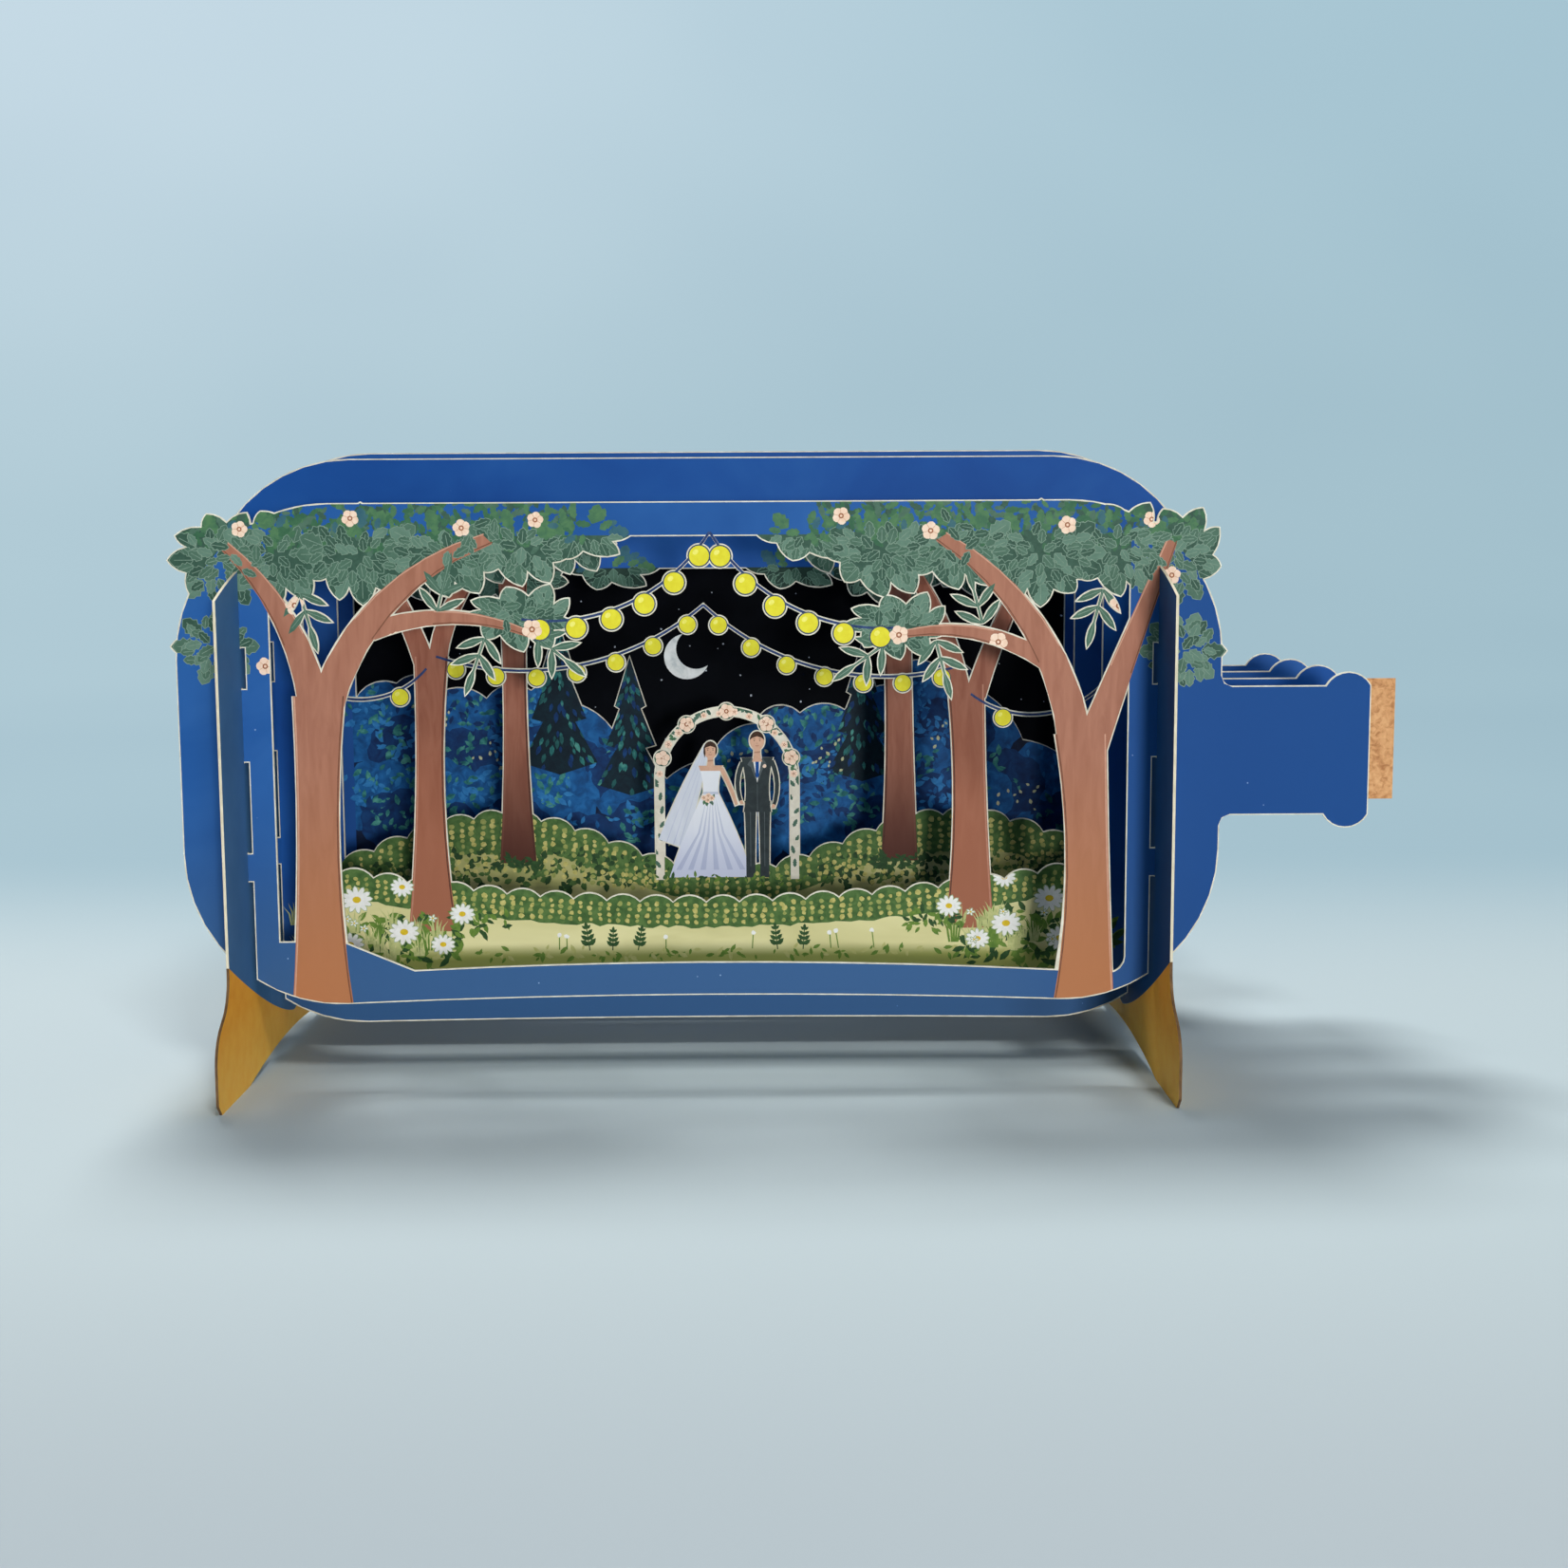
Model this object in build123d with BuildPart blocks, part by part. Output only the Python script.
from build123d import *
import math
import os

# Pop-up greeting card in the shape of a bottle lying on its side. Four bottle-shaped sheets stand
# one behind the other, each with scenery left standing in its window, and two upright ribs cross
# them through slits and reach down as feet. X runs along the bottle towards its cork, Y from the
# front sheet to the back one, Z up from the table. The origin is on the table, at the middle of
# the card's whole length and midway between its front and back sheets. Sheets are drawn about the
# middle of the bottle's body instead, which lies at body_middle. All lengths are in millimetres.

# Card and fit
card = 0.5
slot_gap = 0.15
slit_width = 2.2

# Bottle outline, seen from the front
body_length = 192.0
corner_radius = 28.5
axis_height = 61.0
neck_width = 24.0
neck_fillet = 2.0
lip_start = 115.2
lip_end = 123.6
lip_width = 29.0
cork_end = 134.6
cork_width = 23.6

# The four sheets
sheet_pitch = 21.0
outer_height = 92.4
second_height = 110.0
third_height = 114.0
outer_drop = 1.8
inner_drop = 0.6
outer_bow = 2.7
inner_bow = 1.1

# Windows
front_window_half = 78.7
second_window_half = 77.3
third_window_half = 75.0
back_window_half = 76.0
front_bar = 6.3
second_bar = 13.0
third_bar = 23.5
back_bar = 9.0
window_corner = 3.0

# Ribs
rib_inset = 11.6
rib_depth = 94.8
rib_front_top = 90.0
rib_middle_top = 98.8
foot_top = 18.8
foot_bend = 12.8
foot_depth = 114.4
foot_round = 2.0
foot_sweep = 8.0
arch_half = 36.0
arch_rise = 3.0
# Heights between which a rib passes through a sheet, the lowest span open at the bottom
rib_passes = [(0.0, 37.6), (43.0, 59.9), (73.5, 81.0)]

# Sky backing
sky_width = 160.0
sky_bottom = 24.0
sky_top = 102.0

# Scenery, with the shares of a leaf's length that shape a spray of leaves
leaf_reach = 97.0
leaf_tip = 3.0
leaf_root = 4.5
leaf_curve = 0.11
leaf_lean = 0.15
wire_width = 0.9
front_bulb = 2.3
second_bulb = 2.0
second_lobe = 6.4
third_lobe = 7.0
back_lobe = 9.5
lobe_rise = 0.22
spray_leaf = 5.2
leaf_pitch = 0.62
leaf_foot = 0.2
leaf_bulge = 0.12
leaf_angle = 52.0
stem_half = 0.35
arch_flower = 1.9
arch_width = 30.0
arch_band = 2.2
arch_height = 36.0
bride_height = 27.0
groom_height = 29.0
fir_height = 34.0
fir_width = 17.0

half_body = body_length / 2
outer_bottom = axis_height - outer_height / 2 - outer_drop
second_bottom = axis_height - second_height / 2 - inner_drop
third_bottom = axis_height - third_height / 2 - inner_drop
front_window_top = axis_height + outer_height / 2 - front_bar
second_window_top = axis_height + second_height / 2 - second_bar
third_window_top = axis_height + third_height / 2 - third_bar
back_window_top = axis_height + outer_height / 2 - back_bar
sheet_places = [(index - 1.5) * sheet_pitch for index in range(4)]
rib_places = [rib_inset - half_body, half_body - rib_inset]
body_middle = (leaf_reach - cork_end) / 2


def sheet_plane(place):
    """Back face of the sheet that stands at this depth, from which it is raised forwards."""
    return Plane((body_middle, place + card / 2, 0), x_dir=(1, 0, 0), z_dir=(0, -1, 0))


def spot(along, up):
    """Gives the place of scenery, where 100 is half the front sheet's length or height."""
    return Vector(along / 100 * half_body, axis_height + up / 100 * outer_height / 2)


def bottle(height, bottom, bow, has_cork=False):
    """Adds the outline of a bottle on its side, with its lower edge bowed up a little."""
    top = axis_height + height / 2
    with BuildLine() as outline:
        Line((-half_body, bottom), (-half_body, top))
        Line((-half_body, top), (half_body, top))
        Line((half_body, top), (half_body, bottom))
        ThreePointArc((half_body, bottom), (0, bottom + bow), (-half_body, bottom))
    make_face(outline.edges())
    body = vertices()
    fillet(body, corner_radius)
    neck_half = neck_width / 2
    lip_half = lip_width / 2
    lip_middle = (lip_start + lip_end) / 2
    with BuildLine() as outline:
        Line((0, -neck_half + axis_height), (0, neck_half + axis_height))
        Line((0, neck_half + axis_height), (lip_start, neck_half + axis_height))
        ThreePointArc(
            (lip_start, axis_height + neck_half),
            (lip_middle, axis_height + lip_half),
            (lip_end, axis_height + neck_half),
        )
        Line((lip_end, axis_height + neck_half), (lip_end, axis_height - neck_half))
        ThreePointArc(
            (lip_end, axis_height - neck_half),
            (lip_middle, axis_height - lip_half),
            (lip_start, axis_height - neck_half),
        )
        Line((lip_start, axis_height - neck_half), (0, axis_height - neck_half))
    make_face(outline.edges())
    inner_corners = vertices().filter_by(
        lambda v: abs(v.X - half_body) < 0.1 and abs(abs(v.Y - axis_height) - neck_half) < 0.1
    )
    fillet(inner_corners, neck_fillet)
    if has_cork:
        cork_middle = (lip_end + cork_end) / 2
        with Locations((cork_middle, axis_height)):
            Rectangle(cork_end - lip_end, cork_width)


def window(half_width, bottom, top, bow):
    """Cuts a window, its lower corners round and its lower edge bowed as its sheet's is."""
    with BuildLine() as outline:
        Line((-half_width, bottom), (-half_width, top))
        Line((-half_width, top), (half_width, top))
        Line((half_width, top), (half_width, bottom))
        ThreePointArc((half_width, bottom), (0, bottom + bow), (-half_width, bottom))
    make_face(outline.edges(), mode=Mode.SUBTRACT)
    lower_corners = vertices().filter_by(
        lambda v: abs(abs(v.X) - half_width) < 0.1 and abs(v.Y - bottom) < 0.1
    )
    fillet(lower_corners, window_corner)


def rib_slits():
    """Cuts the slits that the two ribs pass through."""
    for low, high in rib_passes:
        with Locations(*[(x, (low + high) / 2) for x in rib_places]):
            Rectangle(slit_width, high - low, mode=Mode.SUBTRACT)


def trunk(foot, waist, crown):
    """Makes a tree trunk through three (place, width) stations, its sides curved."""
    left = [place - Vector(width / 2, 0) for place, width in (foot, waist, crown)]
    right = [place + Vector(width / 2, 0) for place, width in (foot, waist, crown)]
    with BuildLine() as outline:
        ThreePointArc(*left)
        Line(left[2], right[2])
        ThreePointArc(*right)
        Line(right[0], left[0])
    return make_face(outline.edges(), mode=Mode.PRIVATE)


def bough(start, middle, end, root, tip):
    """Makes a curved branch that tapers from its root width to its tip width."""
    along = (end - start).normalized()
    across = Vector(-along.Y, along.X)
    widths = (root / 2, (root + tip) / 4, tip / 2)
    upper = [point + across * width for point, width in zip((start, middle, end), widths)]
    lower = [point - across * width for point, width in zip((start, middle, end), widths)]
    with BuildLine() as outline:
        ThreePointArc(*upper)
        Line(upper[2], lower[2])
        ThreePointArc(*lower)
        Line(lower[0], upper[0])
    return make_face(outline.edges(), mode=Mode.PRIVATE)


def bulged(start, end, bulge):
    """Draws an arc that bulges to the right of its way by this share of its length."""
    way = end - start
    ThreePointArc(start, (start + end) / 2 + Vector(way.Y, -way.X) * bulge, end)


def leaf_mass(centre, half_width, half_height):
    """Makes a mass of leaves: an oval edged all round with pointed leaf tips."""
    girth = math.pi * (half_width + half_height)
    count = 3 * round(girth / leaf_root / 3)
    step = 2 * math.pi / count
    reaches = [leaf_tip, 0.6 * leaf_tip, 0.85 * leaf_tip]

    def edge(turn, reach):
        return centre + Vector(
            -(half_width + reach) * math.cos(turn),
            -(half_height + reach) * math.sin(turn),
        )

    with BuildLine() as outline:
        for index in range(count):
            root = edge((index - 0.5) * step, 0)
            tip = edge((index + leaf_lean * (index % 3)) * step, reaches[index % 3])
            bulged(root, tip, leaf_curve)
            bulged(tip, edge((index + 0.5) * step, 0), leaf_curve)
    return make_face(outline.edges(), mode=Mode.PRIVATE)


def leaf_masses(places):
    """Makes a mass of leaves at each (along, up, half width, half height)."""
    return [leaf_mass(spot(along, up), *halves) for along, up, *halves in places]


def edge_mass(side, up, half_width, half_height):
    """Makes a mass of leaves that reaches as far beyond the body's end as any."""
    centre = Vector(side * (leaf_reach - half_width - leaf_tip), spot(0, up).Y)
    return leaf_mass(centre, half_width, half_height)


def spray(place, turn, leaf, pairs=2):
    """Makes a leaf spray: pairs of pointed leaves along a stem, and one more at its end."""
    pitch = leaf * leaf_pitch
    foot = leaf * leaf_foot
    lean = Vector(1, 0).rotate(Axis.Z, leaf_angle)
    stops = [Vector(0, stem_half)]
    for index in range(pairs):
        near = Vector(index * pitch, stem_half)
        stops += [near, near + Vector(foot / 2, 0) + lean * leaf, near + Vector(foot, 0)]
    crown = Vector(pairs * pitch, stem_half)
    point = Vector(pairs * pitch + leaf, 0)
    with BuildLine() as outline:
        for side in (-1, 1):
            ways = [Vector(stop.X, side * stop.Y) for stop in stops[1:]]
            for near, tip, far in zip(ways[::3], ways[1::3], ways[2::3]):
                bulged(near, tip, -side * leaf_bulge)
                bulged(tip, far, -side * leaf_bulge)
            last = Vector(crown.X, side * crown.Y)
            for far, near in zip(ways[2::3], ways[3::3] + [last]):
                Line(far, near)
            bulged(last, point, -side * leaf_bulge)
        Line((0, -stem_half), (0, stem_half))
    flat = make_face(outline.edges(), mode=Mode.PRIVATE)
    return Plane(origin=place, x_dir=Vector(1, 0).rotate(Axis.Z, turn)) * flat


def sprays(places):
    """Makes a spray at each (along, up, turn)."""
    return [spray(spot(along, up), turn, spray_leaf) for along, up, turn in places]


def festoon(start, end, sag, bulbs, bulb_radius):
    """Makes a hanging wire with round lights evenly spread below it."""
    low = (start + end) / 2 - Vector(0, sag)
    with BuildLine() as wire:
        ThreePointArc(start, low, end)
    with BuildLine() as outline:
        for shift in (-wire_width / 2, wire_width / 2):
            ThreePointArc(*[place + Vector(0, shift) for place in (start, low, end)])
        for place in (start, end):
            Line(place - Vector(0, wire_width / 2), place + Vector(0, wire_width / 2))
    pieces = [make_face(outline.edges(), mode=Mode.PRIVATE)]
    for index in range(bulbs):
        bulb = wire.line @ ((index + 0.5) / bulbs)
        with Locations((bulb.X, bulb.Y - bulb_radius * 0.7)):
            pieces.append(Circle(bulb_radius, mode=Mode.PRIVATE))
    return pieces


def fir(place, share):
    """Makes a fir tree with three tiers of branches, a share of the full size."""
    right_side = [(0, 0)]
    for tier in range(3):
        reach = fir_width / 2 * (1 - 0.27 * tier)
        level = fir_height * (0.08 + 0.28 * tier)
        right_side += [(reach, level), (reach * 0.45, level + fir_height * 0.26)]
    right_side[-1] = (0, fir_height)
    with BuildLine() as outline:
        Polyline(*[place + Vector(u, v) * share for u, v in right_side])
        Polyline(*[place + Vector(-u, v) * share for u, v in right_side])
    return make_face(outline.edges(), mode=Mode.PRIVATE)


def garden_arch(place):
    """Makes an arch of one band with upright legs and flowers along its top."""
    middle = place + Vector(0, arch_height - arch_width / 2)
    with BuildLine() as outline:
        for half in (arch_width / 2, arch_width / 2 - arch_band):
            Line(place - Vector(half, 0), middle - Vector(half, 0))
            ThreePointArc(
                middle - Vector(half, 0), middle + Vector(0, half), middle + Vector(half, 0)
            )
            Line(middle + Vector(half, 0), place + Vector(half, 0))
        for side in (-1, 1):
            Line(
                place + Vector(side * arch_width / 2, 0),
                place + Vector(side * (arch_width / 2 - arch_band), 0),
            )
    with Locations(middle):
        with PolarLocations((arch_width - arch_band) / 2, 5, start_angle=18, angular_range=180):
            flowers = Circle(arch_flower, mode=Mode.PRIVATE)
    return [make_face(outline.edges(), mode=Mode.PRIVATE), flowers]


def upright(place, height, stations):
    """Makes a tapered form through three (share of the height, width share) stations."""
    return trunk(
        *[(place + Vector(0, height * share), height * width) for share, width in stations]
    )


def arm(place, height, shoulder, elbow, hand):
    """Makes an arm through three (across, up) shares of a figure's height."""
    joints = [place + Vector(*share) * height for share in (shoulder, elbow, hand)]
    return bough(*joints, height * 0.05, height * 0.04)


def head(place, height):
    """Makes a figure's neck and head."""
    neck = upright(place, height, [(0.78, 0.09), (0.82, 0.065), (0.88, 0.065)])
    with Locations(place + Vector(0, height * 0.93)):
        return [neck, Ellipse(height * 0.06, height * 0.075, mode=Mode.PRIVATE)]


def bride(place):
    """Makes a standing figure in a bell-shaped gown, its veil flowing behind it."""
    height = bride_height
    veil = [place + Vector(*share) * height for share in ((-0.02, 0.97), (-0.14, 0.66), (-0.3, 0.2))]
    forms = [
        upright(place, height, [(-0.05, 0.66), (0.3, 0.4), (0.6, 0.13)]),
        upright(place, height, [(0.59, 0.13), (0.7, 0.14), (0.81, 0.2)]),
        bough(*veil, height * 0.06, height * 0.24),
        arm(place, height, (0.08, 0.79), (0.15, 0.64), (0.2, 0.5)),
    ]
    return forms + head(place, height)


def groom(place):
    """Makes a standing figure in a suit."""
    height = groom_height
    legs = [place - Vector(height * 0.05, 0), place + Vector(height * 0.05, 0)]
    forms = [upright(leg, height, [(-0.05, 0.08), (0.25, 0.085), (0.5, 0.1)]) for leg in legs]
    forms += [
        upright(place, height, [(0.42, 0.21), (0.62, 0.18), (0.81, 0.24)]),
        arm(place, height, (-0.1, 0.78), (-0.14, 0.62), (-0.11, 0.47)),
        arm(place, height, (0.1, 0.79), (0.14, 0.62), (0.11, 0.44)),
    ]
    return forms + head(place, height)


def bank(half_width, floor, profile, lobe):
    """Makes ground whose top edge is a row of round lobes on a profile of its height."""
    count = round(2 * half_width / lobe)
    edge = [half_width * (2 * index / count - 1) for index in range(count + 1)]
    with BuildLine() as outline:
        for start, end in zip(edge, edge[1:]):
            middle = (start + end) / 2
            ThreePointArc(
                (start, profile(start)),
                (middle, profile(middle) + lobe * lobe_rise),
                (end, profile(end)),
            )
        Line((half_width, profile(half_width)), (half_width, floor))
        Line((half_width, floor), (-half_width, floor))
        Line((-half_width, floor), (-half_width, profile(-half_width)))
    return make_face(outline.edges(), mode=Mode.PRIVATE)


def sill_ramp():
    """Makes the raised left end of the front window's sill, and its slope down to the right."""
    corners = [spot(-83, -94), spot(-83, -75), spot(-70, -75), spot(-54, -89), spot(-54, -94)]
    with BuildLine() as outline:
        Polyline(*corners, close=True)
    return make_face(outline.edges(), mode=Mode.PRIVATE)


def meadow(x):
    """Height of the second sheet's ground, lowest in the middle."""
    return spot(0, -68 + 16 * (x / second_window_half) ** 2).Y


def hedge(x):
    """Height of the third sheet's ground, in gentle waves."""
    return spot(0, -50 - 13 * math.cos(6.4 * x / half_body - 0.27)).Y


def wood(x):
    """Height of the tree tops on the back sheet."""
    place = x / half_body
    return spot(0, 2 + 19.5 * math.sin(6.4 * place - 1.2) + 8.7 * math.sin(14.8 * place)).Y


with BuildPart() as front_sheet:
    with BuildSketch(sheet_plane(sheet_places[0])):
        bottle(outer_height, outer_bottom, outer_bow)
        window(front_window_half, outer_bottom + front_bar, front_window_top, outer_bow)
        trees = [
            trunk((spot(-74, -94), 11.5), (spot(-74, -35), 8.2), (spot(-73, 24), 10.0)),
            bough(spot(-74, 20), spot(-79, 54), spot(-90, 84), 6.5, 2.5),
            bough(spot(-72, 17), spot(-62, 56), spot(-40, 86), 7.5, 3.0),
            bough(spot(-62, 50), spot(-48, 55), spot(-32, 48), 4.0, 1.8),
            trunk((spot(74, -94), 11.5), (spot(74.5, -41), 8.4), (spot(73, 7), 10.0)),
            bough(spot(75, 2), spot(82, 41), spot(90, 84), 6.5, 2.5),
            bough(spot(72, 2), spot(65, 46), spot(46, 86), 7.5, 3.0),
            bough(spot(67, 35), spot(52, 48), spot(36, 46), 4.0, 1.8),
        ]
        leaves = [edge_mass(side, up, 7.0, 7.0) for side, up in ((-1, 78), (1, 78))]
        leaves += [edge_mass(side, up, 5.5, 5.0) for side, up in ((-1, 44), (1, 40))]
        leaves += leaf_masses([(-80, 80, 8.5, 6.5), (-64, 80, 9.5, 6.5), (-48, 81, 9.0, 6.0)])
        leaves += leaf_masses([(-34, 83, 8.0, 5.0), (-22, 88, 6.5, 3.5), (-34, 55, 8.0, 4.0)])
        leaves += leaf_masses([(80, 81, 8.0, 6.5), (65, 79, 9.5, 7.0), (49, 82, 9.0, 5.5)])
        leaves += leaf_masses([(35, 80, 8.5, 6.0), (21, 87, 7.0, 3.5), (38, 51, 7.5, 4.0)])
        leaves += sprays([(-31, 47, -40), (-41, 47, -110), (-76, 65, -75), (-50, 57, 75)])
        leaves += sprays([(35, 43, 215), (45, 45, -75), (77, 65, 255), (54, 51, 105)])
        lights = festoon(spot(-34, 54), spot(2, 88), 6, 6, front_bulb)
        lights += festoon(spot(2, 88), spot(38, 50), 6, 6, front_bulb)
        add(trees + leaves + lights + [sill_ramp()])
        rib_slits()
    extrude(amount=card)
front_sheet.part.label = "front_sheet"

with BuildPart() as second_sheet:
    with BuildSketch(sheet_plane(sheet_places[1])):
        bottle(second_height, second_bottom, inner_bow, has_cork=True)
        sill = second_bottom + second_bar
        window(second_window_half, sill, second_window_top, inner_bow)
        ground = bank(second_window_half + 1, sill - 3, meadow, second_lobe)
        trees = [
            trunk((spot(-56, -80), 10.0), (spot(-56, -35), 6.4), (spot(-55, 37), 7.0)),
            bough(spot(-56, 32), spot(-62, 63), spot(-71, 93), 4.5, 2.5),
            bough(spot(-54, 32), spot(-48, 67), spot(-35, 93), 4.5, 2.5),
            trunk((spot(54, -80), 10.0), (spot(54, -35), 7.2), (spot(53, 24), 7.6)),
            bough(spot(55, 20), spot(62, 58), spot(71, 93), 4.5, 2.5),
            bough(spot(52, 20), spot(46, 58), spot(34, 93), 4.5, 2.5),
        ]
        leaves = leaf_masses([(-70, 86, 8.0, 5.0), (-46, 84, 8.0, 6.0), (-27, 87, 8.0, 5.0)])
        leaves += leaf_masses([(70, 86, 8.0, 5.0), (45, 83, 8.0, 6.0), (25, 87, 8.5, 5.0)])
        lights = festoon(spot(-81, 28), spot(-56, 32), 5, 2, second_bulb)
        lights += festoon(spot(-54, 37), spot(0, 58), 7, 7, second_bulb)
        lights += festoon(spot(0, 58), spot(52, 32), 7, 7, second_bulb)
        lights += festoon(spot(54, 20), spot(81, 24), 5, 2, second_bulb)
        add([ground] + trees + leaves + lights)
        rib_slits()
    extrude(amount=card)
second_sheet.part.label = "second_sheet"

with BuildPart() as third_sheet:
    with BuildSketch(sheet_plane(sheet_places[2])):
        bottle(third_height, third_bottom, inner_bow)
        sill = third_bottom + second_bar
        window(third_window_half, sill, third_window_top, inner_bow)
        ground = bank(third_window_half + 1, sill - 3, hedge, third_lobe)
        trees = [
            trunk((spot(-41, -58), 8.0), (spot(-41, -13), 5.6), (spot(-41, 76), 6.6)),
            trunk((spot(41, -58), 8.0), (spot(41, -13), 6.2), (spot(40, 76), 7.0)),
        ]
        leaves = leaf_masses([(-60, 72, 9.0, 3.5), (-40, 70, 9.0, 4.5), (-20, 73, 7.0, 3.0)])
        leaves += leaf_masses([(58, 72, 9.0, 3.5), (39, 70, 9.5, 4.5), (19, 73, 7.5, 3.0)])
        couple = bride(spot(0.5, -62)) + groom(spot(10.5, -62))
        add([ground] + garden_arch(spot(4, -66)) + trees + leaves + couple)
        rib_slits()
    extrude(amount=card)
third_sheet.part.label = "third_sheet"

with BuildPart() as back_sheet:
    with BuildSketch(sheet_plane(sheet_places[3])):
        bottle(outer_height, outer_bottom, outer_bow)
        sill = outer_bottom + back_bar
        window(back_window_half, sill, back_window_top, outer_bow)
        ground = bank(back_window_half + 1, sill - 3, wood, back_lobe)
        firs = [fir(spot(-34, -24), 1), fir(spot(-18, -34), 0.9), fir(spot(34, -28), 0.9)]
        add([ground] + firs)
        rib_slits()
    extrude(amount=card)
back_sheet.part.label = "back_sheet"

with BuildPart() as sky_backing:
    with BuildSketch(sheet_plane(sheet_places[3] + card)):
        with Locations((0, (sky_bottom + sky_top) / 2)):
            Rectangle(sky_width, sky_top - sky_bottom)
        fillet(vertices(), window_corner)
    extrude(amount=card)
sky_backing.part.label = "sky_backing"


def rib(place):
    """Makes one upright rib, from its feet to its curved top, slotted for the four sheets."""
    with BuildPart() as made:
        with BuildSketch(Plane.YZ.offset(body_middle + place - card / 2)):
            with BuildLine():
                Polyline(
                    (-arch_half, 0),
                    (-foot_depth / 2 + foot_round, 0),
                    (-foot_depth / 2, foot_round),
                    (-foot_depth / 2, foot_bend),
                    (-rib_depth / 2, foot_top),
                    (-rib_depth / 2, rib_front_top),
                )
                mirror(about=Plane.YZ)
                ThreePointArc((-arch_half, 0), (0, arch_rise), (arch_half, 0))
                ThreePointArc(
                    (-rib_depth / 2, rib_front_top),
                    (0, rib_middle_top),
                    (rib_depth / 2, rib_front_top),
                )
            make_face()
            bends = vertices().filter_by(lambda v: foot_bend - 0.1 < v.Y < foot_top + 0.1)
            fillet(bends, foot_sweep)
            highs = [low for low, _ in rib_passes[1:]] + [2 * rib_middle_top]
            for (_, low), high in zip(rib_passes, highs):
                bottom = low - slot_gap
                top = high + slot_gap
                with Locations(*[(y, (bottom + top) / 2) for y in sheet_places]):
                    Rectangle(card + 2 * slot_gap, top - bottom, mode=Mode.SUBTRACT)
        extrude(amount=card)
    return made


left_rib = rib(rib_places[0])
left_rib.part.label = "left_rib"
right_rib = rib(rib_places[1])
right_rib.part.label = "right_rib"

os.makedirs("parts", exist_ok=True)
for piece in (front_sheet, second_sheet, third_sheet, back_sheet, sky_backing, left_rib, right_rib):
    export_step(piece.part, f"parts/{piece.part.label}.step")
